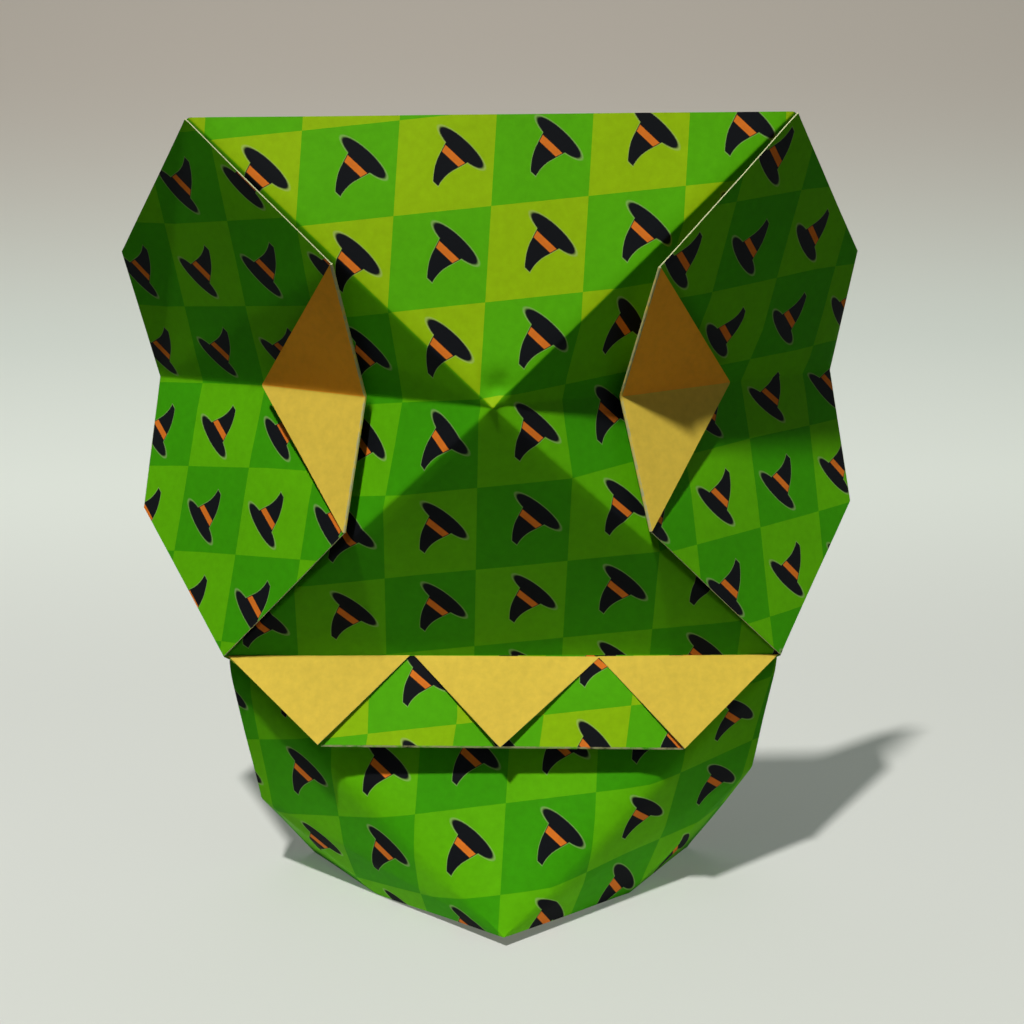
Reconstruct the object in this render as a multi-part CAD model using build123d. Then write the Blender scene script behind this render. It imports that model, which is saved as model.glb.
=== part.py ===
"""Origami skull folded from one printed paper sheet.

Millimetres. X is to the viewer's right, Y runs to the back and Z is up. The
skull looks along -Y and stands on the four lower corners of its jaw.
"""
import os
from math import cos, radians, sin

from build123d import *

# Sheet: paper_t is its thickness, fold_gap the step between two layers of a
# doubled fold, measured from the middle of one layer to the middle of the next.
paper_t = 0.3
fold_gap = 0.9

# Face: three triangles on the same width, stacked chin to crown. Each lean is
# taken from the vertical; the jaw and the forehead run back as they rise, and
# the nose triangle runs forward as it rises.
half_width = 37.5
jaw_length = 37.5
jaw_lean = 26.5
nose_length = 37.6
nose_lean = 11.5
forehead_length = 36.5
forehead_lean = 19.5

# Sides of the face: the valley fold runs from the nose out and back to the
# temple, and the outline steps up to the brow and down to the cheek from there.
temple_out = 48.0
temple_back = 29.2
temple_drop = 2.2
brow_out = 2.6
brow_forward = 3.2
brow_rise = 18.1
cheek_out = 2.6
cheek_forward = 5.7
cheek_fall = 18.2

# Side flaps, folded forward over the sides: how far their inner corners stand
# off the face, and where the eye lies along the face's folds, as parts of them.
corner_lift = 2.3
valley_lift = 2.0
eye_corner_part = 0.5
eye_inner_part = 0.32
eye_outer_part = 0.63
eye_tip_lift = 4.0

# Mouth: a pleat with a front band and three folded-down teeth. The pleat's inner
# fold lies behind the band, where the jaw starts. Each tooth is lifted off the
# band by an angle, and sits tooth_seat in front of the mouth line.
tooth_count = 3
band_lean = 33.0
pleat_drop = 1.2
pleat_open = 3.4
outer_tooth_lift = 3.5
middle_tooth_lift = 7.0
tooth_side_gap = 0.25
tooth_seat = 0.18

# Jaw sides: the lower edges spread from the chin, which hangs above the floor,
# to a heel on each side. There the corner of the sheet is folded back along a
# slanting line, and its tip is a second foot.
chin_lift = 1.8
jaw_spread = 33.0
corner_fold = 15.8
foot_out = 28.0
foot_back = 24.5

# Mitre solver: passes over the facets that meet at a point, and its step.
mitre_passes = 200
mitre_step = 0.5

tooth_depth = half_width / tooth_count
floor_normal = Vector(0, 0, 1)
point = {}
facets = []


def pair(name, place):
    """Set a point on the left side, with its mirror image on the right."""
    point[name + "_l"] = Vector(-abs(place.X), place.Y, place.Z)
    point[name + "_r"] = Vector(abs(place.X), place.Y, place.Z)


def facet(*names):
    """Add a flat facet as a fan of triangles, first name at the fan's root."""
    for second, third in zip(names[1:], names[2:]):
        facets.append((names[0], second, third))


def side_facets(*names):
    """Add a facet on the left side and its mirror image on the right.

    A star stands for the side in a point's name.
    """
    facet(*[name.replace("*", "_l") for name in names])
    facet(*[name.replace("*", "_r") for name in (names[0], *reversed(names[1:]))])


def normal(first, second, third):
    """Unit normal of a triangle, towards the side where it runs anticlockwise."""
    return (second - first).cross(third - first).normalized()


def along(start, end, part):
    """Point at a given part of the way from start to end."""
    return start + (end - start) * part


# Face points.
chin = Vector(0, 0, chin_lift)
mouth = chin + Vector(0, sin(radians(jaw_lean)), cos(radians(jaw_lean))) * jaw_length
nose = mouth + Vector(0, -sin(radians(nose_lean)), cos(radians(nose_lean))) * nose_length
crown = nose + Vector(0, sin(radians(forehead_lean)), cos(radians(forehead_lean))) * forehead_length
across = Vector(half_width, 0, 0)
point["chin"] = chin
point["nose"] = nose
pair("crown", crown + across)
pair("mouth", mouth + across)
temple = nose + Vector(temple_out, temple_back, -temple_drop)
brow = temple + Vector(brow_out, -brow_forward, brow_rise)
cheek = temple + Vector(cheek_out, -cheek_forward, -cheek_fall)
pair("temple", temple)
pair("brow", brow)
pair("cheek", cheek)

# Side flap points on the left, each lifted off the facet that it lies over.
crown_l = point["crown_l"]
mouth_l = point["mouth_l"]
temple_l = point["temple_l"]
upper = normal(nose, crown_l, temple_l)
lower = normal(nose, temple_l, mouth_l)
spine = (upper + lower) / (1 + upper.dot(lower))
pair("flap_brow", point["brow_l"] + upper * fold_gap)
pair("flap_cheek", point["cheek_l"] + lower * fold_gap)
pair("flap_temple", temple_l + spine * fold_gap)
pair("flap_crown", crown_l + upper * fold_gap)
pair("flap_mouth", mouth_l + lower * fold_gap)
pair("eye_top", along(nose, crown_l, eye_corner_part) + upper * corner_lift)
pair("eye_foot", along(nose, mouth_l, eye_corner_part) + lower * corner_lift)
pair("eye_inner", along(nose, temple_l, eye_inner_part) + spine * valley_lift)
pair("lid_top", point["eye_top_l"] + upper * fold_gap)
pair("lid_foot", point["eye_foot_l"] + lower * fold_gap)
pair("lid_inner", point["eye_inner_l"] + spine * fold_gap)
pair("lid_outer", along(nose, temple_l, eye_outer_part) + spine * eye_tip_lift)

# Mouth pleat and jaw points.
band_down = Vector(0, -sin(radians(band_lean)), -cos(radians(band_lean)))
band_back = Vector(0, cos(radians(band_lean)), -sin(radians(band_lean)))
band_foot = mouth + band_down * tooth_depth
inset = Vector(half_width - tooth_depth, 0, 0)
pair("band", band_foot + inset)
pair("tuck_foot", band_foot + inset + band_back * fold_gap)
tuck_top = mouth + band_down * pleat_drop + band_back * pleat_open
pair("tuck", tuck_top + across)
pair("jaw", tuck_top + across + Vector(0, fold_gap, 0))
spread = Vector(-cos(radians(jaw_spread)), sin(radians(jaw_spread)), 0)
heel_l = spread * (half_width - corner_fold)
pair("heel", heel_l)
pair("jaw_corner", heel_l + (point["jaw_l"] - chin) * (corner_fold / half_width))
pair("foot", Vector(foot_out, foot_back, 0))

# Facets, each named anticlockwise as seen on one face of the sheet.
facet("nose", "crown_r", "crown_l")
facet("nose", "mouth_l", "mouth_r")
side_facets("temple*", "nose", "crown*", "brow*")
side_facets("temple*", "cheek*", "mouth*", "nose")
side_facets("temple*", "brow*", "flap_brow*", "flap_temple*")
side_facets("cheek*", "temple*", "flap_temple*", "flap_cheek*")
side_facets("flap_temple*", "flap_brow*", "flap_crown*", "eye_top*", "eye_inner*")
side_facets("flap_temple*", "eye_inner*", "eye_foot*", "flap_mouth*", "flap_cheek*")
side_facets("eye_inner*", "eye_top*", "lid_top*", "lid_inner*")
side_facets("eye_foot*", "eye_inner*", "lid_inner*", "lid_foot*")
side_facets("lid_inner*", "lid_top*", "lid_outer*")
side_facets("lid_foot*", "lid_inner*", "lid_outer*")
facet("mouth_r", "mouth_l", "band_l", "band_r")
facet("band_r", "band_l", "tuck_foot_l", "tuck_foot_r")
facet("tuck_foot_r", "tuck_foot_l", "tuck_l", "tuck_r")
facet("tuck_r", "tuck_l", "jaw_l", "jaw_r")
facet("jaw_r", "jaw_l", "chin")
side_facets("chin", "jaw*", "jaw_corner*", "heel*")
side_facets("heel*", "jaw_corner*", "foot*")


def offset_direction(name):
    """Direction from a point of the mid-surface to its mitred outer corner.

    Its part along each meeting facet's normal tends to one, so the sheet keeps
    its thickness around the fold. On the floor it stays level.
    """
    normals = [normal(*[point[corner] for corner in tri]) for tri in facets if name in tri]
    aim = [(facing, 1.0) for facing in normals]
    if point[name].Z == 0:
        aim.append((floor_normal, 0.0))
    total = Vector(0, 0, 0)
    for _ in range(mitre_passes):
        for facing, reach in aim:
            total += facing * (mitre_step * (reach - total.dot(facing)))
    return total


def flat(*corners):
    """Flat triangular face."""
    return Face(Wire.make_polygon(corners, close=True))


# Sheet as one closed solid: an outer face and an inner face for each triangle,
# and a narrow strip along each free edge.
outer = {}
inner = {}
for name, place in point.items():
    step = offset_direction(name) * (paper_t / 2)
    outer[name] = place + step
    inner[name] = place - step

skin = []
edges = set()
for first, second, third in facets:
    skin.append(flat(outer[first], outer[second], outer[third]))
    skin.append(flat(inner[first], inner[third], inner[second]))
    edges.update([(first, second), (second, third), (third, first)])
for start, end in sorted(edges):
    if (end, start) not in edges:
        skin.append(flat(outer[start], inner[start], inner[end]))
        skin.append(flat(outer[start], inner[end], outer[end]))
sheet = Solid(Shell(skin))

# Teeth: folded-down points in front of the band, joined to it along the mouth.
teeth = []
for i in range(tooth_count):
    middle = 2 * i + 1 == tooth_count
    lean = radians(band_lean + (middle_tooth_lift if middle else outer_tooth_lift))
    centre = (2 * i + 1 - tooth_count) * tooth_depth
    root = mouth + Vector(centre, -tooth_seat, 0)
    reach = tooth_depth - tooth_side_gap
    tip = root + Vector(0, -sin(lean), -cos(lean)) * reach
    face = flat(root - Vector(reach, 0, 0), tip, root + Vector(reach, 0, 0))
    forward = Vector(0, -cos(lean), sin(lean))
    teeth.append(Solid.extrude(face.moved(Location(forward * (-paper_t / 2))), forward * paper_t))

skull = sheet.fuse(*teeth)

# Origin under the middle of the part's box.
box = skull.bounding_box()
skull = skull.moved(Location((-box.center().X, -box.center().Y, -box.min.Z)))
skull.label = "folded_sheet"

os.makedirs("parts", exist_ok=True)
export_step(skull, "parts/folded_sheet.step")
print("volume mm3", round(skull.volume, 1), "valid", skull.is_valid, "faces", len(skull.faces()))
print("box", skull.bounding_box())
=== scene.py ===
"""Looks of the origami skull: one printed sheet, folded, on a pale floor.

Millimetres in the frame of the chin, with X to the viewer's right, Y to the
back and Z up; the mesh is written in metres in the row's frame.
"""
from math import cos, exp, pi, radians, sin

import bpy
import numpy as np
from mathutils import Matrix, Vector, noise


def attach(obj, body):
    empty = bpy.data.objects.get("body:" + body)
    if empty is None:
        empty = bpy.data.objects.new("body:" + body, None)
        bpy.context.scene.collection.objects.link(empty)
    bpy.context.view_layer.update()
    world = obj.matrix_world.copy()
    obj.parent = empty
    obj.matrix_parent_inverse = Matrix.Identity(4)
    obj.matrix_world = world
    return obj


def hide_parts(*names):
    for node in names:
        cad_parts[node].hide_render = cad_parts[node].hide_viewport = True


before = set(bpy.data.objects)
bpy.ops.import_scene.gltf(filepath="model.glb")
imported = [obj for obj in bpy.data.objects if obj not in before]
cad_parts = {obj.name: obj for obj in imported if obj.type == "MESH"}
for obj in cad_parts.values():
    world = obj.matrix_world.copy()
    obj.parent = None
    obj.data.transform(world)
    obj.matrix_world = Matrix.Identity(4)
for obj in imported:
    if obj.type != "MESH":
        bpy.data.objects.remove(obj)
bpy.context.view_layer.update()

MM = 0.001

# Sheet: its thickness, and the step between two layers at the side flaps, at
# the eye lids and at the mouth pleat.
paper_t = 0.18
fold_gap = 0.55
lid_gap = 0.3
pleat_gap = 0.5

# Face, as in the part's source, but with a forehead that leans back less.
half_width = 37.5
jaw_length = 37.5
jaw_lean = 26.5
nose_length = 37.6
nose_lean = 11.5
forehead_length = 36.5
forehead_lean = 18.0
temple_out = 48.0
temple_back = 29.2
temple_drop = 2.2
brow_out = 2.6
brow_forward = 3.2
brow_rise = 18.1
cheek_out = 2.6
cheek_forward = 5.7
cheek_fall = 18.2

# Side flaps and eyes: how far the eyes' corners stand off the face, and where
# they lie along its folds, as parts of them.
eye_top_lift = 3.3
eye_foot_lift = 2.3
valley_lift = 2.0
eye_corner_part = 0.5
eye_inner_part = 0.32
eye_outer_part = 0.63
eye_tip_lift = 4.0

# Mouth and jaw. The pleat's inner fold is tuck_in shorter at each end.
tooth_count = 3
band_lean = 33.0
pleat_drop = 1.2
pleat_open = 3.4
tuck_in = 2.5
outer_tooth_lift = 3.5
middle_tooth_lift = 7.0
tooth_side_gap = 0.25
tooth_seat = 0.18
chin_lift = 1.8
jaw_spread = 33.0
corner_fold = 15.8
foot_out = 28.0
foot_back = 24.5
tooth_depth = half_width / tooth_count

# Folded by hand: how far each point is off the even shape, to the right and up.
hand_fold = {
    "nose": (-0.4, -0.31), "crown_l": (-0.28, -0.5), "crown_r": (0.28, -0.39), "brow_l": (0.03, 0.63),
    "brow_r": (-0.5, -0.4), "cheek_r": (0.2, -0.15), "eye_top_l": (0.44, 0.58), "eye_top_r": (-0.04, -0.15),
    "eye_inner_l": (-0.4, 0.0), "eye_inner_r": (-0.25, -0.3), "eye_foot_l": (0.15, 0.25),
    "lid_outer_l": (1.0, 0.65), "lid_outer_r": (-0.8, 0.4),
    "mouth_l": (0.15, 0.0), "mouth_r": (1.0, -0.7), "band_l": (0.9, 0.3), "band_r": (-0.1, -0.8),
    "tooth0_left": (0.15, 0.1), "tooth0_right": (0.55, -0.15), "tooth0_tip": (0.55, 0.0),
    "tooth1_left": (0.7, -0.2), "tooth1_right": (1.7, -0.65), "tooth1_tip": (0.05, -0.9),
    "tooth2_left": (0.9, -0.6), "tooth2_right": (1.2, -0.65), "tooth2_tip": (0.0, -1.25),
    "jaw_l": (-0.3, 1.0), "jaw_r": (1.7, 0.95), "jaw_corner_l": (-0.5, -1.25), "jaw_corner_r": (2.3, 2.8),
    "heel_l": (0.5, 0.0), "heel_r": (0.0, 0.0), "chin": (0.3, -0.3),
}

# Folded by hand: how far a point comes towards the viewer, or back if negative.
hand_near = {"nose": 1.0, "crown_l": 0.6, "brow_l": 2.0, "heel_l": -1.2, "heel_r": -0.7}

# Points of a second layer that move with the first one's.
moves_with = {
    "crown": "flap_crown", "brow": "flap_brow", "cheek": "flap_cheek", "mouth": "flap_mouth",
    "eye_top": "lid_top", "eye_inner": "lid_inner", "eye_foot": "lid_foot",
    "band": "tuck_foot", "jaw": "tuck",
}

# Row frame: the chin's place in front of the middle of the part's box.
row_back = 19.23

# Mesh: steps along a facet's edge and round a fold, and the crease's bevel. Near
# the nose the rows are closer and the bevel is narrower. The last value limits
# how far the thickness pushes out a sharp corner.
steps = 22
fold_steps = 4
fold_bulge = 0.16
crease_bevel = 0.22
bevel_segments = 2
nose_rows = 1.5
nose_taper = 6.0
nose_bevel = 0.3
least_fit = 0.5

# Jaw: its two folds are soft bends, narrower towards the chin.
bend_width = 2.4
bend_growth = 0.2
least_reach = 0.01

# Paper's waves: height, width of a wave, the flat margin along a fold, and how
# the height grows across that margin.
wave_height = 0.22
wave_width = 17.0
wave_margin = 9.0
wave_growth = 0.7

# Edges sharper than this angle, in degrees, aren't shaded as round.
sharp_edge = 28

# Nose tip: bumps and dents as steps to the right and up from the nose, width
# and height.
nose_dents = [(-0.25, -0.05, 0.6, 0.4), (0.3, 2.0, 1.3, -1.2)]

point = {}


def pair(name, place):
    """Set a point on the left side, with its mirror image on the right."""
    point[name + "_l"] = Vector((-abs(place.x), place.y, place.z))
    point[name + "_r"] = Vector((abs(place.x), place.y, place.z))


def normal(first, second, third):
    """Unit normal of a triangle, towards the side where it runs anticlockwise."""
    return (second - first).cross(third - first).normalized()


def along(start, end, part):
    """Point at a given part of the way from start to end."""
    return start + (end - start) * part


def tilted(lean):
    """Unit vector that leans back from the vertical."""
    return Vector((0, sin(radians(lean)), cos(radians(lean))))


# Face points.
chin = Vector((0, 0, chin_lift))
mouth = chin + tilted(jaw_lean) * jaw_length
nose = mouth + tilted(-nose_lean) * nose_length
crown = nose + tilted(forehead_lean) * forehead_length
across = Vector((half_width, 0, 0))
point["chin"] = chin
point["nose"] = nose
pair("crown", crown + across)
pair("mouth", mouth + across)
temple = nose + Vector((temple_out, temple_back, -temple_drop))
pair("temple", temple)
pair("brow", temple + Vector((brow_out, -brow_forward, brow_rise)))
pair("cheek", temple + Vector((cheek_out, -cheek_forward, -cheek_fall)))

# Side flap points, each lifted off the facet that it lies over.
crown_l = point["crown_l"]
mouth_l = point["mouth_l"]
temple_l = point["temple_l"]
upper = normal(nose, crown_l, temple_l)
lower = normal(nose, temple_l, mouth_l)
spine = (upper + lower) / (1 + upper.dot(lower))
pair("flap_brow", point["brow_l"] + upper * fold_gap)
pair("flap_cheek", point["cheek_l"] + lower * fold_gap)
pair("flap_temple", temple_l + spine * fold_gap)
pair("flap_crown", crown_l + upper * fold_gap)
pair("flap_mouth", mouth_l + lower * fold_gap)
pair("eye_top", along(nose, crown_l, eye_corner_part) + upper * eye_top_lift)
pair("eye_foot", along(nose, mouth_l, eye_corner_part) + lower * eye_foot_lift)
pair("eye_inner", along(nose, temple_l, eye_inner_part) + spine * valley_lift)
pair("lid_top", point["eye_top_l"] + upper * lid_gap)
pair("lid_foot", point["eye_foot_l"] + lower * lid_gap)
pair("lid_inner", point["eye_inner_l"] + spine * lid_gap)
pair("lid_outer", along(nose, temple_l, eye_outer_part) + spine * eye_tip_lift)

# Mouth pleat and jaw points.
band_down = -tilted(band_lean)
band_back = Vector((0, cos(radians(band_lean)), -sin(radians(band_lean))))
band_foot = mouth + band_down * tooth_depth
inset = Vector((half_width - tooth_depth, 0, 0))
pair("band", band_foot + inset)
pair("tuck_foot", band_foot + inset + band_back * pleat_gap)
tuck_top = mouth + band_down * pleat_drop + band_back * pleat_open
pair("tuck", tuck_top + across - Vector((tuck_in, 0, 0)))
pair("jaw", tuck_top + across + Vector((0, pleat_gap, 0)))
spread = Vector((-cos(radians(jaw_spread)), sin(radians(jaw_spread)), 0))
heel_l = spread * (half_width - corner_fold)
pair("heel", heel_l)
pair("jaw_corner", heel_l + (point["jaw_l"] - chin) * (corner_fold / half_width))
pair("foot", Vector((foot_out, foot_back, 0)))

# Teeth, folded down in front of the band.
teeth = []
for i in range(tooth_count):
    middle = 2 * i + 1 == tooth_count
    lift = middle_tooth_lift if middle else outer_tooth_lift
    reach = tooth_depth - tooth_side_gap
    root = mouth + Vector(((2 * i + 1 - tooth_count) * tooth_depth, -tooth_seat, 0))
    names = [f"tooth{i}_{end}" for end in ("left", "tip", "right")]
    point[names[0]] = root - Vector((reach, 0, 0))
    point[names[1]] = root - tilted(band_lean + lift) * reach
    point[names[2]] = root + Vector((reach, 0, 0))
    teeth.append(names)

for name, (right_by, up_by) in hand_fold.items():
    base, _, side = name.rpartition("_")
    names = [name, f"{moves_with[base]}_{side}"] if base in moves_with else [name]
    for moved in names:
        point[moved] = point[moved] + Vector((right_by, -hand_near.get(name, 0), up_by))

# Print: a check of two greens. Places on the flat sheet are in units of the
# face's half width, x to the right and y up from the nose; on the band and the
# jaw y runs down from their upper edge. The check's two counts are of columns
# and rows, and a cell is light where their sum is even.
cells_per_half = 3.1
nose_flat = (0.0, -0.021)
crown_flat = {"crown_l": (-1, 0.945), "crown_r": (1, 0.975)}

# Counts of columns and of rows: the count at the nose, then what one cell to the
# right adds and what one cell down adds, or one cell up on the flaps. The last
# values place the band and the jaw, in cells below the nose, and shift the
# jaw's columns.
face_check = ((3.137, 1.0128, 0.0609), (3.04, 0.1116, 1.0087))
flap_check = {
    "flap_l": ((-3.086, -1.034, 0.061), (-1.19, -0.056, 1.016)),
    "flap_r": ((3.391, -1.044, 0.081), (-0.03, -0.082, 1.019)),
}
band_below = 6.16
jaw_below = 8.22
jaw_shift = 0.24
flat = {"nose": nose_flat, "chin": (0.0, 1.0)}
heel_part = 1 - corner_fold / half_width
sides = {
    "crown": (1, 1), "mouth": (1, -1), "temple": (1.5, 0), "brow": (1.5, 0.5), "cheek": (1.5, -0.5),
    "flap_crown": (1, 1), "flap_mouth": (1, -1), "flap_temple": (1.5, 0), "flap_brow": (1.5, 0.5),
    "flap_cheek": (1.5, -0.5), "eye_top": (0.5, 0.5), "eye_foot": (0.5, -0.5), "eye_inner": (0.5, 0),
    "lid_top": (0.5, 0.5), "lid_foot": (0.5, -0.5), "lid_inner": (0.5, 0), "lid_outer": (1, 0),
    "band": (1 - 1 / tooth_count, 1 / tooth_count), "tuck_foot": (1 - 1 / tooth_count, 1 / tooth_count),
    "tuck": (1, 0), "jaw": (1, 0), "jaw_corner": (1, heel_part), "heel": (heel_part, 1), "foot": (1, 1),
}
for name, (x, y) in sides.items():
    flat[name + "_l"] = (-x, y)
    flat[name + "_r"] = (x, y)
flat.update(crown_flat)


def counted(check, x, y):
    """Counts of columns and rows at a place of the sheet, in cells."""
    return tuple(start + per_x * x + per_y * y for start, per_x, per_y in check)


def print_at(name, group):
    """Check counts at a named point, as one facet group has them."""
    if name not in flat:
        return 0.0, 0.0
    x = flat[name][0] * cells_per_half
    y = flat[name][1] * cells_per_half
    if group in flap_check:
        return counted(flap_check[group], x, y)
    if group == "band":
        return counted(face_check, x, band_below + (0 if name.startswith("mouth") else y))
    if group == "jaw":
        columns, rows = counted(face_check, x, jaw_below + y)
        return columns + jaw_shift, rows
    return counted(face_check, x, -y)


# Facets: corners anticlockwise on the sheet's outer side, print group, what shows
# on the outer and on the inner side, and how far the colours turn to a painted
# copy: a warmer lit one, painted light, on the forehead and the band, and a
# browner shaded one, painted shade, on the upper lids.
PRINT, GOLD, EDGE = range(3)
facets = []
strips = []


def facet(names, group, outer, inner, tone=0.0):
    """Add a flat facet, first name at the root of its fan of triangles."""
    facets.append((tuple(names), group, outer, inner, tone))


def side_facets(names, group, outer, inner, tone=0.0):
    """Add a facet on the left and its mirror image on the right."""
    own = group + "{}" if group == "flap" else group
    left = [name.replace("*", "_l") for name in names]
    right = [name.replace("*", "_r") for name in (names[0], *reversed(names[1:]))]
    facet(left, own.format("_l"), outer, inner, tone)
    facet(right, own.format("_r"), outer, inner, tone)


def side_strips(names, group, outer, inner):
    """Add a fold's strip on the left and its mirror image on the right."""
    own = group + "{}" if group == "flap" else group
    first, second, third, fourth = names
    strips.append(([n.replace("*", "_l") for n in names], own.format("_l"), outer, inner))
    right = [n.replace("*", "_r") for n in (second, first, fourth, third)]
    strips.append((right, own.format("_r"), outer, inner))


# The forehead's greens turn warmer: painted light.
facet(["nose", "crown_r", "crown_l"], "face", PRINT, GOLD, 1.0)
facet(["nose", "mouth_l", "mouth_r"], "face", PRINT, GOLD)
side_facets(["nose", "crown*", "brow*", "temple*"], "face", PRINT, PRINT)
side_facets(["nose", "temple*", "cheek*", "mouth*"], "face", PRINT, PRINT)
side_strips(["temple*", "brow*", "flap_brow*", "flap_temple*"], "face", PRINT, PRINT)
side_strips(["cheek*", "temple*", "flap_temple*", "flap_cheek*"], "face", PRINT, PRINT)
side_facets(["flap_temple*", "flap_brow*", "flap_crown*", "eye_top*", "eye_inner*"], "flap", GOLD, PRINT)
side_facets(["flap_temple*", "eye_inner*", "eye_foot*", "flap_mouth*", "flap_cheek*"], "flap", GOLD, PRINT)
side_strips(["eye_inner*", "eye_top*", "lid_top*", "lid_inner*"], "flap", GOLD, PRINT)
side_strips(["eye_foot*", "eye_inner*", "lid_inner*", "lid_foot*"], "flap", GOLD, PRINT)
# The upper lids turn to a browner gold: painted shade.
side_facets(["lid_inner*", "lid_top*", "lid_outer*"], "flap", GOLD, PRINT, 1.0)
side_facets(["lid_foot*", "lid_inner*", "lid_outer*"], "flap", GOLD, PRINT)
# The band's greens turn warmer: painted light.
facet(["mouth_r", "mouth_l", "band_l", "band_r"], "band", PRINT, GOLD, 0.8)
strips.append((["band_r", "band_l", "tuck_foot_l", "tuck_foot_r"], "band", PRINT, GOLD))
facet(["tuck_foot_r", "tuck_foot_l", "tuck_l", "tuck_r"], "band", PRINT, GOLD)
strips.append((["tuck_r", "tuck_l", "jaw_l", "jaw_r"], "jaw", PRINT, GOLD))
facet(["jaw_r", "jaw_l", "chin"], "jaw", PRINT, GOLD)
side_facets(["chin", "jaw*", "jaw_corner*", "heel*"], "jaw", PRINT, GOLD)
side_facets(["heel*", "jaw_corner*", "foot*"], "jaw", PRINT, GOLD)
for names in teeth:
    facet(names, "face", GOLD, PRINT)

# How many facets and strips use an edge; two or more share a fold.
uses = {}
for names in [f[0] for f in facets] + [s[0] for s in strips]:
    for a, b in zip(names, (*names[1:], names[0])):
        uses[frozenset((a, b))] = uses.get(frozenset((a, b)), 0) + 1

# Mid-surface of the sheet.
places = []
index = {}
faces = []


def vertex(key, place):
    """Index of the vertex with this key, made where it is new."""
    if key not in index:
        index[key] = len(places)
        places.append(place)
    return index[key]


def edge_vertex(a, b, k):
    """Vertex at step k of the edge from a to b."""
    if k in (0, steps):
        name = b if k else a
        return vertex(name, point[name])
    key = (a, b, k) if a < b else (b, a, steps - k)
    part = k / steps
    if a == "nose":
        part = part ** nose_rows
    if b == "nose":
        part = 1 - (1 - part) ** nose_rows
    return vertex(key, along(point[a], point[b], part))


def to_segment(place, a, b):
    """Distance from a place to the edge between two named points."""
    run = point[b] - point[a]
    part = min(1.0, max(0.0, (place - point[a]).dot(run) / run.length_squared))
    return (place - point[a] - run * part).length


def wave(place, names):
    """Height of the paper's wave at a place of a facet; none along its folds."""
    away = wave_margin
    for a, b in zip(names, (*names[1:], names[0])):
        if uses[frozenset((a, b))] > 1:
            away = min(away, to_segment(place, a, b))
    return noise.noise(place / wave_width) * wave_height * (away / wave_margin) ** wave_growth


def add_facet(number):
    """Add the triangles of a facet, each divided into small ones."""
    names, group = facets[number][:2]
    facing = normal(*[point[n] for n in names[:3]])
    for b, c in zip(names[1:], names[2:]):
        a = names[0]
        marks = [print_at(n, group) for n in (a, b, c)]
        grid = {}
        for i in range(steps + 1):
            for j in range(i + 1):
                row = (i / steps) ** (nose_rows if a == "nose" else 1)
                place_in_row = j / max(i, 1)
                share = (1 - row, row * (1 - place_in_row), row * place_in_row)
                count = tuple(sum(s * m[axis] for s, m in zip(share, marks)) for axis in (0, 1))
                if j == 0:
                    v = edge_vertex(a, b, i)
                elif j == i:
                    v = edge_vertex(a, c, i)
                elif i == steps:
                    v = edge_vertex(b, c, j)
                else:
                    place = point[a] * share[0] + point[b] * share[1] + point[c] * share[2]
                    v = vertex((number, b, i, j), place)
                grid[i, j] = (v, count)
        for i in range(steps):
            for j in range(i + 1):
                faces.append((number, [grid[i, j], grid[i + 1, j], grid[i + 1, j + 1]]))
                if j < i:
                    faces.append((number, [grid[i, j], grid[i + 1, j + 1], grid[i, j + 1]]))
    for key, v in index.items():
        inside = isinstance(key, tuple) and key[0] == number
        on_free = isinstance(key, tuple) and key[0] in names and key[1] in names
        if inside or (on_free and uses.get(frozenset(key[:2]), 1) == 1):
            places[v] = places[v] + facing * wave(places[v], names)


strip_out = {}
for names in [s[0] for s in strips]:
    a, b, c, d = [point[n] for n in names]
    out = (b - a).cross((d + c - a - b)).normalized()
    for end in ((names[0], names[3]), (names[1], names[2])):
        strip_out[end] = strip_out.get(end, Vector()) + out


def add_strip(number):
    """Add the rounded strip of a fold between two layers."""
    names, group = strips[number][:2]
    a, b, c, d = names
    side = -1 if group.startswith("face") or b == "tuck_l" else 1
    grid = {}
    for k in range(steps + 1):
        low = edge_vertex(a, b, k)
        high = edge_vertex(d, c, k)
        swell = along(strip_out[a, d].normalized(), strip_out[b, c].normalized(), k / steps)
        for r in range(fold_steps + 1):
            if r == 0:
                v = low
            elif r == fold_steps:
                v = high
            else:
                turn = pi * r / fold_steps
                place = along(places[low], places[high], (1 - cos(turn)) / 2)
                place = place + swell * (side * fold_bulge * sin(turn))
                key = ("strip", number, k, r)
                if k == 0:
                    key = ("end", a, d, r)
                if k == steps:
                    key = ("end", b, c, r)
                v = vertex(key, place)
            mark = [along(Vector(print_at(s, group)), Vector(print_at(e, group)), k / steps)
                    for s, e in ((a, b), (d, c))]
            count = along(mark[0], mark[1], r / fold_steps)
            grid[k, r] = (v, tuple(count))
    for k in range(steps):
        for r in range(fold_steps):
            corners = [grid[k, r], grid[k + 1, r], grid[k + 1, r + 1], grid[k, r + 1]]
            faces.append((len(facets) + number, corners))


for number in range(len(facets)):
    add_facet(number)
for number in range(len(strips)):
    add_strip(number)

# Jaw's soft bends.
jaw_front = normal(*[point[n] for n in ("jaw_r", "jaw_l", "chin")])
jaw_numbers = {n for n, entry in enumerate(facets) if "chin" in entry[0]}
jaw_vertices = {v for number, corners in faces if number in jaw_numbers for v, count in corners}
for top, side in (("jaw_l", "jaw_corner_l"), ("jaw_r", "jaw_corner_r")):
    run = (point[top] - point["chin"]).normalized()
    flank = normal(point["chin"], point[top], point[side])
    flank = flank if flank.dot(jaw_front) > 0 else -flank
    outward = (jaw_front + flank).normalized()
    slope = (1 / outward.dot(jaw_front) ** 2 - 1) ** 0.5
    for v in jaw_vertices:
        step = places[v] - point["chin"]
        reach = step.dot(run)
        away = (step - run * reach).length
        width = min(bend_width, bend_growth * max(reach, least_reach))
        if away < width:
            places[v] = places[v] - outward * (slope * (away * away / (2 * width) + width / 2 - away))

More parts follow.
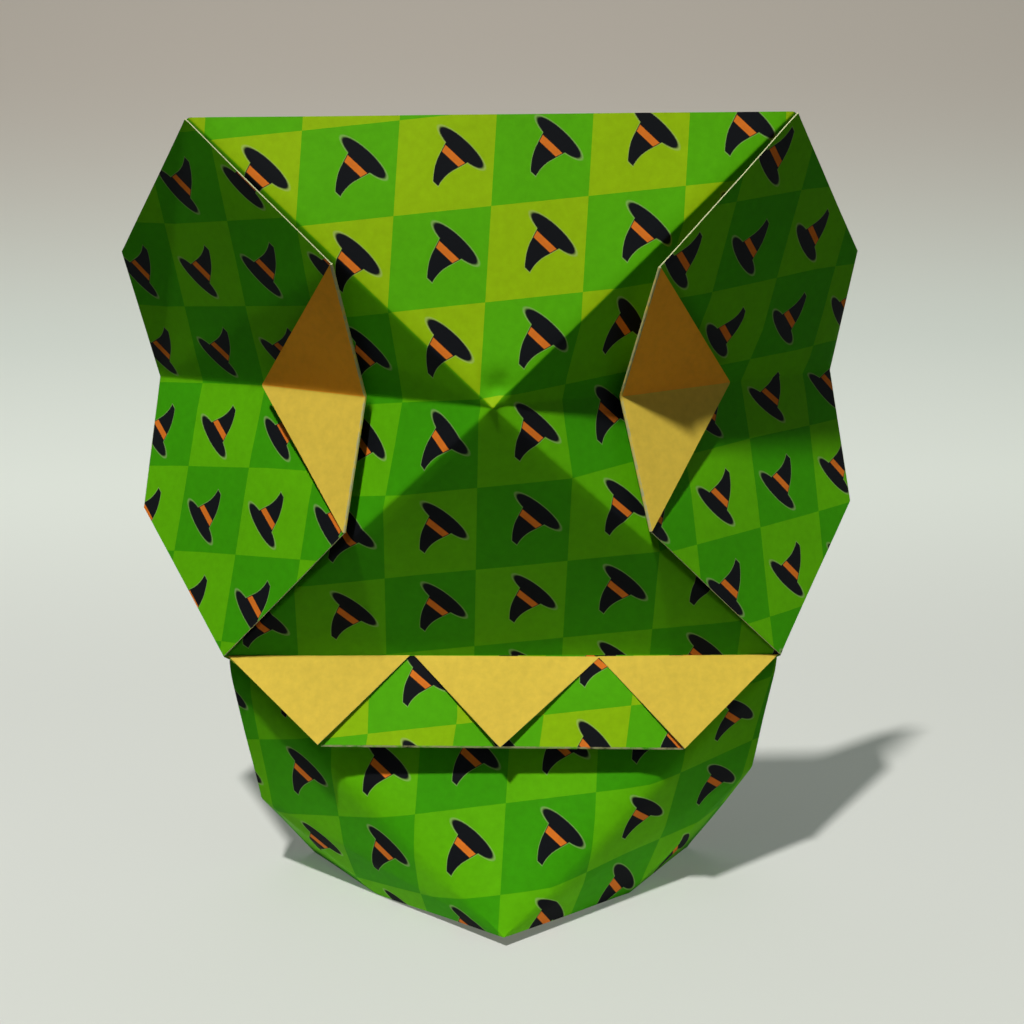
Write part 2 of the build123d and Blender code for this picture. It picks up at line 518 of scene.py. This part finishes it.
# Soft creases: a narrow rounded bevel along each fold between two facets, apart
# from the jaw's, and narrower towards the nose, where six folds meet.
middle_mesh = bpy.data.meshes.new("middle")
middle_mesh.from_pydata(places, [], [[v for v, count in corners] for number, corners in faces])
uv = middle_mesh.uv_layers.new(name="print")
uv.data.foreach_set("uv", [value for number, corners in faces for v, count in corners for value in count])
owner = middle_mesh.attributes.new("facet", "INT", "FACE")
owner.data.foreach_set("value", [number for number, corners in faces])
edge_owners = {}
for number, corners in faces:
    ring = [v for v, count in corners]
    for v, w in zip(ring, ring[1:] + ring[:1]):
        edge_owners.setdefault(frozenset((v, w)), []).append(number)
weights = []
for edge in middle_mesh.edges:
    owners = edge_owners[frozenset(edge.vertices)]
    is_fold = len(set(owners)) == 2 and max(owners) < len(facets) and not set(owners) <= jaw_numbers
    away = min((places[v] - nose).length for v in edge.vertices)
    weights.append(min(1.0, nose_bevel + away / nose_taper) if is_fold else 0.0)
weight = middle_mesh.attributes.new("bevel_weight_edge", "FLOAT", "EDGE")
weight.data.foreach_set("value", weights)
middle = bpy.data.objects.new("middle", middle_mesh)
bpy.context.scene.collection.objects.link(middle)
bevel = middle.modifiers.new("bevel", "BEVEL")
bevel.limit_method = "WEIGHT"
bevel.width = crease_bevel
bevel.segments = bevel_segments
bevel.use_clamp_overlap = True
graph = bpy.context.evaluated_depsgraph_get()
soft = bpy.data.meshes.new_from_object(middle.evaluated_get(graph))
bpy.data.objects.remove(middle)
soft_uv = soft.uv_layers["print"].data
soft_owner = soft.attributes["facet"].data
places = [v.co.copy() for v in soft.vertices]
faces = []
for polygon in soft.polygons:
    corners = [(soft.loops[i].vertex_index, tuple(soft_uv[i].uv)) for i in polygon.loop_indices]
    faces.append((soft_owner[polygon.index].value, corners))


def nose_shape(place):
    """Crumpled tip of the nose: a small nub, with a dimple above it."""
    shift = Vector()
    for across_by, up_by, width, height in nose_dents:
        centre = nose + Vector((across_by, 0, up_by))
        away = Vector((place.x - centre.x, 0, place.z - centre.z)).length
        shift += Vector((0, -height, 0)) * exp(-((away / width) ** 2))
    return place + shift


places = [nose_shape(p) for p in places]

# Two sides of the sheet, half its thickness out along each vertex's mean normal.
co = np.array([tuple(p) for p in places])
lean = np.zeros_like(co)
face_normals = []
for number, corners in faces:
    ring = co[[v for v, count in corners]]
    facing = np.cross(ring, np.roll(ring, -1, axis=0)).sum(axis=0)
    facing = facing / max(np.linalg.norm(facing), 1e-12)
    face_normals.append(facing)
    for v, count in corners:
        lean[v] += facing
lean /= np.linalg.norm(lean, axis=1)[:, None]
fit = np.zeros(len(co))
tally = np.zeros(len(co))
for (number, corners), facing in zip(faces, face_normals):
    for v, count in corners:
        fit[v] += facing @ lean[v]
        tally[v] += 1
lean /= np.maximum(fit / tally, least_fit)[:, None]
outer_co = co + lean * (paper_t / 2)
inner_co = co - lean * (paper_t / 2)
all_co = np.concatenate([outer_co, inner_co])
all_co[:, 2] -= all_co[:, 2].min()
all_co[:, 1] -= row_back
half_count = len(co)

kinds = [(f[2], f[3], f[4], 0.0) for f in facets] + [(s[2], s[3], 0.0, 1.0) for s in strips]
polygons = []
slots = []
marks = []
painted_shadings = []
wears = []
border = {}
for number, corners in faces:
    outer, inner, tone, worn = kinds[number]
    ring = [v for v, count in corners]
    counts = [count for v, count in corners]
    polygons.append(ring)
    slots.append(outer)
    marks.extend(counts)
    painted_shadings.append(tone)
    polygons.append([v + half_count for v in reversed(ring)])
    slots.append(inner)
    marks.extend(reversed(counts))
    painted_shadings.append(tone)
    wears.extend([worn, worn])
    for (v, cv), (w, cw) in zip(corners, corners[1:] + corners[:1]):
        border[v, w] = (cv, cw)
for (v, w), (cv, cw) in border.items():
    if (w, v) not in border:
        polygons.append([v, v + half_count, w + half_count, w])
        slots.append(EDGE)
        marks.extend([cv, cv, cw, cw])
        painted_shadings.append(0.0)
        wears.append(0.0)

mesh = bpy.data.meshes.new("skull_sheet")
mesh.from_pydata([Vector(p) * MM for p in all_co], [], polygons, shade_flat=False)
mesh.polygons.foreach_set("material_index", slots)
layer = mesh.uv_layers.new(name="print")
layer.data.foreach_set("uv", [value for mark in marks for value in mark])
# Painted light and shade: each face's share of the painted lit greens, and of the painted shaded gold.
attribute = mesh.attributes.new("tone", "FLOAT", "FACE")
attribute.data.foreach_set("value", painted_shadings)
attribute = mesh.attributes.new("wear", "FLOAT", "FACE")
attribute.data.foreach_set("value", wears)
mesh.update()
mesh.set_sharp_from_angle(angle=radians(sharp_edge))
skull = bpy.data.objects.new("skull_sheet", mesh)
bpy.context.scene.collection.objects.link(skull)


# Paper surface: waves per metre of its mottle, clouds and fibres, how strongly
# they show in colour and gloss, and the fibres' height in metres.
mottle_scale = 900.0
cloud_scale = 60.0
fibre_scale = 2600.0
mottle_share = 0.30
cloud_share = 0.20
base_level = 0.75
gloss_share = 0.12
fibre_strength = 0.25
fibre_height = 0.00004
wear_from = 0.35
wear_to = 0.75
specular = 0.04
paper_rough = 0.50
edge_rough = 0.6


class Graph:
    """Short hand for a material's nodes."""

    def __init__(self, name):
        self.material = bpy.data.materials.new(name)
        self.material.use_nodes = True
        self.nodes = self.material.node_tree.nodes
        self.links = self.material.node_tree.links
        self.shader = self.nodes["Principled BSDF"]
        self.shader.inputs["Specular IOR Level"].default_value = specular

    def add(self, kind, **settings):
        """New node with its settings."""
        node = self.nodes.new(kind)
        for key, value in settings.items():
            setattr(node, key, value)
        return node

    def put(self, socket, value):
        """Link a socket to another, or set its value."""
        if isinstance(value, bpy.types.NodeSocket):
            self.links.new(value, socket)
        else:
            socket.default_value = value

    def sum(self, operation, *values):
        """Result of a math node."""
        node = self.add("ShaderNodeMath", operation=operation)
        for socket, value in zip(node.inputs, values):
            self.put(socket, value)
        return node.outputs[0]

    def step(self, value, low, high):
        """One below low, nought above high, smooth between them."""
        node = self.add("ShaderNodeMapRange", interpolation_type="SMOOTHSTEP")
        for key, entry in (("Value", value), ("From Min", low), ("From Max", high),
                           ("To Min", 1.0), ("To Max", 0.0)):
            self.put(node.inputs[key], entry)
        return node.outputs[0]

    def mix(self, share, first, second):
        """Mixed colour; sockets 6 and 7 take the two, and 2 gives the mix."""
        node = self.add("ShaderNodeMix", data_type="RGBA")
        self.put(node.inputs[0], share)
        self.put(node.inputs[6], first)
        self.put(node.inputs[7], second)
        return node.outputs[2]

    def noise(self, scale, detail, rough=0.5):
        """Noise in the object's own coordinates, in waves per metre."""
        place = self.add("ShaderNodeTexCoord")
        node = self.add("ShaderNodeTexNoise")
        self.links.new(place.outputs["Object"], node.inputs["Vector"])
        node.inputs["Scale"].default_value = scale
        node.inputs["Detail"].default_value = detail
        node.inputs["Roughness"].default_value = rough
        return node.outputs[0]

    def finish_paper(self, colour, roughness):
        """Paper surface: mottled colour, uneven gloss and fibre bump."""
        mottle = self.noise(mottle_scale, 4.0, 0.6)
        cloud = self.noise(cloud_scale, 2.0)
        level = self.sum("MULTIPLY", mottle, mottle_share)
        level = self.sum("ADD", level, self.sum("MULTIPLY", cloud, cloud_share))
        level = self.sum("ADD", level, base_level)
        worn = self.add("ShaderNodeAttribute", attribute_name="wear").outputs["Fac"]
        worn = self.sum("MULTIPLY", worn, self.step(mottle, wear_from, wear_to))
        colour = self.mix(worn, colour, WORN_FOLD)
        node = self.add("ShaderNodeMix", data_type="RGBA", blend_type="MULTIPLY")
        node.inputs[0].default_value = 1.0
        self.put(node.inputs[6], colour)
        self.put(node.inputs[7], level)
        self.links.new(node.outputs[2], self.shader.inputs["Base Color"])
        gloss = self.sum("ADD", self.sum("MULTIPLY", cloud, gloss_share), roughness)
        self.links.new(gloss, self.shader.inputs["Roughness"])
        bump = self.add("ShaderNodeBump")
        bump.inputs["Strength"].default_value = fibre_strength
        bump.inputs["Distance"].default_value = fibre_height
        self.links.new(self.noise(fibre_scale, 3.0, 0.6), bump.inputs["Height"])
        self.links.new(bump.outputs[0], self.shader.inputs["Normal"])
        return self.material


# Colours as linear red, green, blue and alpha.
LIGHT_GREEN = (0.115, 0.46, 0.003, 1)
# Lit copy of the light green, painted light on the forehead and the band.
PAINTED_LIT_GREEN = (0.305, 0.525, 0.004, 1)
DARK_GREEN = (0.046, 0.335, 0.003, 1)
# Lit copy of the dark green, painted light on the forehead and the band.
PAINTED_LIT_DARK = (0.095, 0.44, 0.004, 1)
HAT_BLACK = (0.006, 0.007, 0.009, 1)
BAND_ORANGE = (0.74, 0.19, 0.02, 1)
HALO = (0.42, 0.50, 0.22, 1)
GOLD_COLOUR = (0.76, 0.555, 0.070, 1)
# Shaded copy of the gold, browner, painted shade on the upper lids.
PAINTED_SHADE_GOLD = (0.98, 0.43, 0.03, 1)
EDGE_COLOUR = (0.50, 0.52, 0.30, 1)
BOUNCE_GREY = (0.04, 0.04, 0.038, 1)
NEAR_BOUNCE = (0.80, 0.80, 0.75, 1)
FLOOR_COLOUR = (0.52, 0.528, 0.516, 1)
BACKDROP_COLOUR = (0.535, 0.425, 0.382, 1)
WORN_FOLD = (0.50, 0.50, 0.26, 1)

# Hat: a plain pointed one of the builder's own design, in parts of a cell. Its
# brim lies across the cell's diagonal and its tip bends to one side.
hat_right = 0.55
hat_down = 0.46
diagonal = 0.7071
brim_up = 0.15
brim_half = 0.33
brim_thick = 0.075
cone_foot = 0.19
cone_slope = 0.36
cone_top = 0.42
bend_from = 0.2
bend_by = 1.6
ribbon_at = 0.12
ribbon_half = 0.042

# Hat's edges, in parts of a cell: where each colour fades from and to, and the
# halo's strength.
halo_fade = (0.004, 0.012)
halo_share = 0.45
ink_fade = (-0.004, 0.006)
ribbon_fade = (-0.012, -0.004)


def printed_paper():
    """Two-green check with one plain pointed hat in each cell; on the forehead and the band its greens turn
    to warmer lit copies, painted light.
    """
    g = Graph("printed_paper")
    uv = g.add("ShaderNodeUVMap", uv_map="print")
    parts = g.add("ShaderNodeSeparateXYZ")
    g.links.new(uv.outputs[0], parts.inputs[0])
    a, b = parts.outputs[0], parts.outputs[1]
    cell = g.sum("ADD", g.sum("FLOOR", a), g.sum("FLOOR", b))
    odd = g.sum("FLOORED_MODULO", cell, 2.0)
    # Share of the warmer lit greens: painted light.
    tone = g.add("ShaderNodeAttribute", attribute_name="tone").outputs["Fac"]
    light = g.mix(tone, LIGHT_GREEN, PAINTED_LIT_GREEN)
    dark = g.mix(tone, DARK_GREEN, PAINTED_LIT_DARK)
    ground = g.mix(odd, light, dark)
    right = g.sum("SUBTRACT", g.sum("FRACT", a), hat_right)
    down = g.sum("SUBTRACT", g.sum("FRACT", b), hat_down)
    brim = g.sum("MULTIPLY", g.sum("ADD", right, down), diagonal)
    tip = g.sum("MULTIPLY", g.sum("SUBTRACT", down, right), diagonal)
    from_brim = g.sum("ADD", tip, brim_up)

    def squared(value, reach):
        """Square of a value in units of a reach."""
        return g.sum("POWER", g.sum("DIVIDE", value, reach), 2.0)

    oval = g.sum("SQRT", g.sum("ADD", squared(brim, brim_half), squared(from_brim, brim_thick)))
    oval = g.sum("MULTIPLY", g.sum("SUBTRACT", oval, 1.0), brim_thick)
    past_bend = g.sum("MAXIMUM", g.sum("SUBTRACT", from_brim, bend_from), 0.0)
    bend = g.sum("MULTIPLY", squared(past_bend, 1.0), bend_by)
    cone_half = g.sum("SUBTRACT", cone_foot, g.sum("MULTIPLY", from_brim, cone_slope))
    cone = g.sum("SUBTRACT", g.sum("ABSOLUTE", g.sum("SUBTRACT", brim, bend)), cone_half)
    cone = g.sum("MAXIMUM", cone, g.sum("SUBTRACT", 0.0, from_brim))
    cone = g.sum("MAXIMUM", cone, g.sum("SUBTRACT", from_brim, cone_top))
    hat = g.sum("MINIMUM", oval, cone)
    ribbon = g.sum("SUBTRACT", g.sum("ABSOLUTE", g.sum("SUBTRACT", from_brim, ribbon_at)), ribbon_half)
    ribbon = g.sum("MAXIMUM", cone, ribbon)
    halo = g.sum("MULTIPLY", g.step(hat, *halo_fade), halo_share)
    colour = g.mix(halo, ground, HALO)
    colour = g.mix(g.step(hat, *ink_fade), colour, HAT_BLACK)
    colour = g.mix(g.step(ribbon, *ribbon_fade), colour, BAND_ORANGE)
    return g.finish_paper(colour, paper_rough)


def gold_reverse():
    """Gold reverse of the sheet; on the upper lids it turns to a browner shaded copy, painted shade."""
    g = Graph("gold_reverse")
    tone = g.add("ShaderNodeAttribute", attribute_name="tone").outputs["Fac"]
    return g.finish_paper(g.mix(tone, GOLD_COLOUR, PAINTED_SHADE_GOLD), paper_rough)


def paper_edge():
    """Pale cut edge of the sheet."""
    g = Graph("paper_edge")
    return g.finish_paper(EDGE_COLOUR, edge_rough)


for material in (printed_paper(), gold_reverse(), paper_edge()):
    mesh.materials.append(material)

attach(skull, "root")
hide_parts("folded_sheet")

# Floor with a curved sweep up to the backdrop.
floor_half = 1.6
floor_front = -1.2
sweep_start = 0.42
sweep_radius = 0.80
wall_height = 1.6
sweep_steps = 24

# Floor's looks, by depth and by distance from the jaw in metres. Where it is
# seen it has its own colour and a faint glow; the light that it sends back is
# weak, apart from a pale patch around the jaw.
backdrop_depth = (0.40, 0.90)
near_middle = (0.0, -0.012, 0.0)
near_reach = (0.03, 0.07)
floor_rough = 0.85
glow_colour = (0.86, 1.0, 0.84, 1)
glow = 0.125
far_depth = (0.05, 0.22)
far_glow = 0.03
middle_depth = (0.45, 0.85)
middle_glow = 0.12
profile = [(floor_front, 0.0), (sweep_start, 0.0)]
for i in range(1, sweep_steps + 1):
    turn = 0.5 * pi * i / sweep_steps
    profile.append((sweep_start + sweep_radius * sin(turn), sweep_radius * (1 - cos(turn))))
profile.append((sweep_start + sweep_radius, wall_height))
stage_co = [(side * floor_half, y, z) for y, z in profile for side in (-1, 1)]
stage_faces = [(2 * i, 2 * i + 1, 2 * i + 3, 2 * i + 2) for i in range(len(profile) - 1)]
stage_mesh = bpy.data.meshes.new("floor")
stage_mesh.from_pydata(stage_co, [], stage_faces)
stage_mesh.polygons.foreach_set("use_smooth", [True] * len(stage_faces))
floor = bpy.data.objects.new("floor", stage_mesh)
bpy.context.scene.collection.objects.link(floor)
g = Graph("pale_card")
stage_place = g.add("ShaderNodeTexCoord").outputs["Object"]
depth = g.add("ShaderNodeSeparateXYZ")
g.links.new(stage_place, depth.inputs[0])
from_skull = g.add("ShaderNodeVectorMath", operation="DISTANCE")
g.links.new(stage_place, from_skull.inputs[0])
from_skull.inputs[1].default_value = near_middle
shade = g.mix(g.step(depth.outputs[1], *backdrop_depth), BACKDROP_COLOUR, FLOOR_COLOUR)
bounce = g.mix(g.step(from_skull.outputs["Value"], *near_reach), BOUNCE_GREY, NEAR_BOUNCE)
path = g.add("ShaderNodeLightPath")
seen = g.sum("MAXIMUM", path.outputs["Is Camera Ray"], path.outputs["Is Glossy Ray"])
seen = g.sum("MAXIMUM", seen, path.outputs["Is Transmission Ray"])
g.links.new(g.mix(seen, bounce, shade), g.shader.inputs["Base Color"])
g.shader.inputs["Roughness"].default_value = floor_rough
g.shader.inputs["Emission Color"].default_value = glow_colour
far_off = g.sum("SUBTRACT", 1.0, g.step(depth.outputs[1], *far_depth))
lift = g.sum("MULTIPLY", g.step(depth.outputs[1], *middle_depth), middle_glow)
far_lift = g.sum("MULTIPLY", far_off, g.sum("ADD", lift, far_glow))
strength = g.sum("MULTIPLY", seen, g.sum("ADD", far_lift, glow))
g.links.new(strength, g.shader.inputs["Emission Strength"])
stage_mesh.materials.append(g.material)

# Lamps, each with its place and size in metres, its power in watts and colour: a
# key at the upper left in front, a wide soft one overhead and a weak side fill.
object_middle = Vector((0.0, 0.0, 0.05))
key_place = Vector((-190.0, -250.0 - row_back, 965.0)) * MM
lamps = [
    ("key", key_place, 0.055, 9.85, (1.0, 0.98, 0.93)),
    ("overhead", Vector((0.0, 0.35, 1.6)), 1.4, 3.5, (0.97, 1.0, 0.98)),
    ("side_fill", Vector((0.7, -0.25, 0.2)), 0.5, 0.42, (1.0, 0.97, 0.92)),
]


def area_lamp(name, place, size, power, colour):
    """Round lamp that faces the object."""
    light = bpy.data.lights.new(name, "AREA")
    light.shape = "DISK"
    light.size = size
    light.energy = power
    light.color = colour
    lamp = bpy.data.objects.new(name, light)
    lamp.location = place
    lamp.rotation_mode = "QUATERNION"
    lamp.rotation_quaternion = (object_middle - place).to_track_quat("-Z", "Y")
    bpy.context.scene.collection.objects.link(lamp)


for lamp_values in lamps:
    area_lamp(*lamp_values)

# World: an even, low fill, which looks pale where it is seen past the floor.
fill_colour = (0.94, 0.97, 1.0, 1)
fill_strength = 0.045
pale_colour = (0.60, 0.60, 0.57, 1)
world = bpy.data.worlds.new("fill")
world.use_nodes = True
tree = world.node_tree
fill = tree.nodes["Background"]
fill.inputs["Color"].default_value = fill_colour
fill.inputs["Strength"].default_value = fill_strength
pale = tree.nodes.new("ShaderNodeBackground")
pale.inputs["Color"].default_value = pale_colour
path = tree.nodes.new("ShaderNodeLightPath")
shown = path.outputs["Is Camera Ray"]
for kind in ("Is Glossy Ray", "Is Transmission Ray"):
    either = tree.nodes.new("ShaderNodeMath")
    either.operation = "MAXIMUM"
    tree.links.new(shown, either.inputs[0])
    tree.links.new(path.outputs[kind], either.inputs[1])
    shown = either.outputs[0]
blend = tree.nodes.new("ShaderNodeMixShader")
for socket, source in zip(blend.inputs, (shown, fill.outputs[0], pale.outputs[0])):
    tree.links.new(source, socket)
tree.links.new(blend.outputs[0], tree.nodes["World Output"].inputs["Surface"])
bpy.context.scene.world = world

# Camera at the photo's place, for a square picture.
picture = 1024
focal_pixels = 1384.5
camera_place = Vector((0.41, -159.03 - row_back, 111.25)) * MM
pitch = 0.306
yaw = 0.009
roll = -0.008
ahead = Vector((sin(yaw) * cos(pitch), cos(yaw) * cos(pitch), -sin(pitch)))
level = Vector((cos(yaw), -sin(yaw), 0))
above = level.cross(ahead)
right = level * cos(roll) + above * sin(roll)
up = above * cos(roll) - level * sin(roll)
camera = bpy.data.cameras.new("camera")
camera.sensor_width = 36.0
camera.lens = camera.sensor_width * focal_pixels / picture
camera.clip_start = 0.01
camera.clip_end = 20.0
eye = bpy.data.objects.new("camera", camera)
turned = Matrix((right, up, -ahead)).transposed().to_4x4()
turned.translation = camera_place
eye.matrix_world = turned
bpy.context.scene.collection.objects.link(eye)
bpy.context.scene.camera = eye
bpy.context.scene.view_settings.view_transform = "Standard"
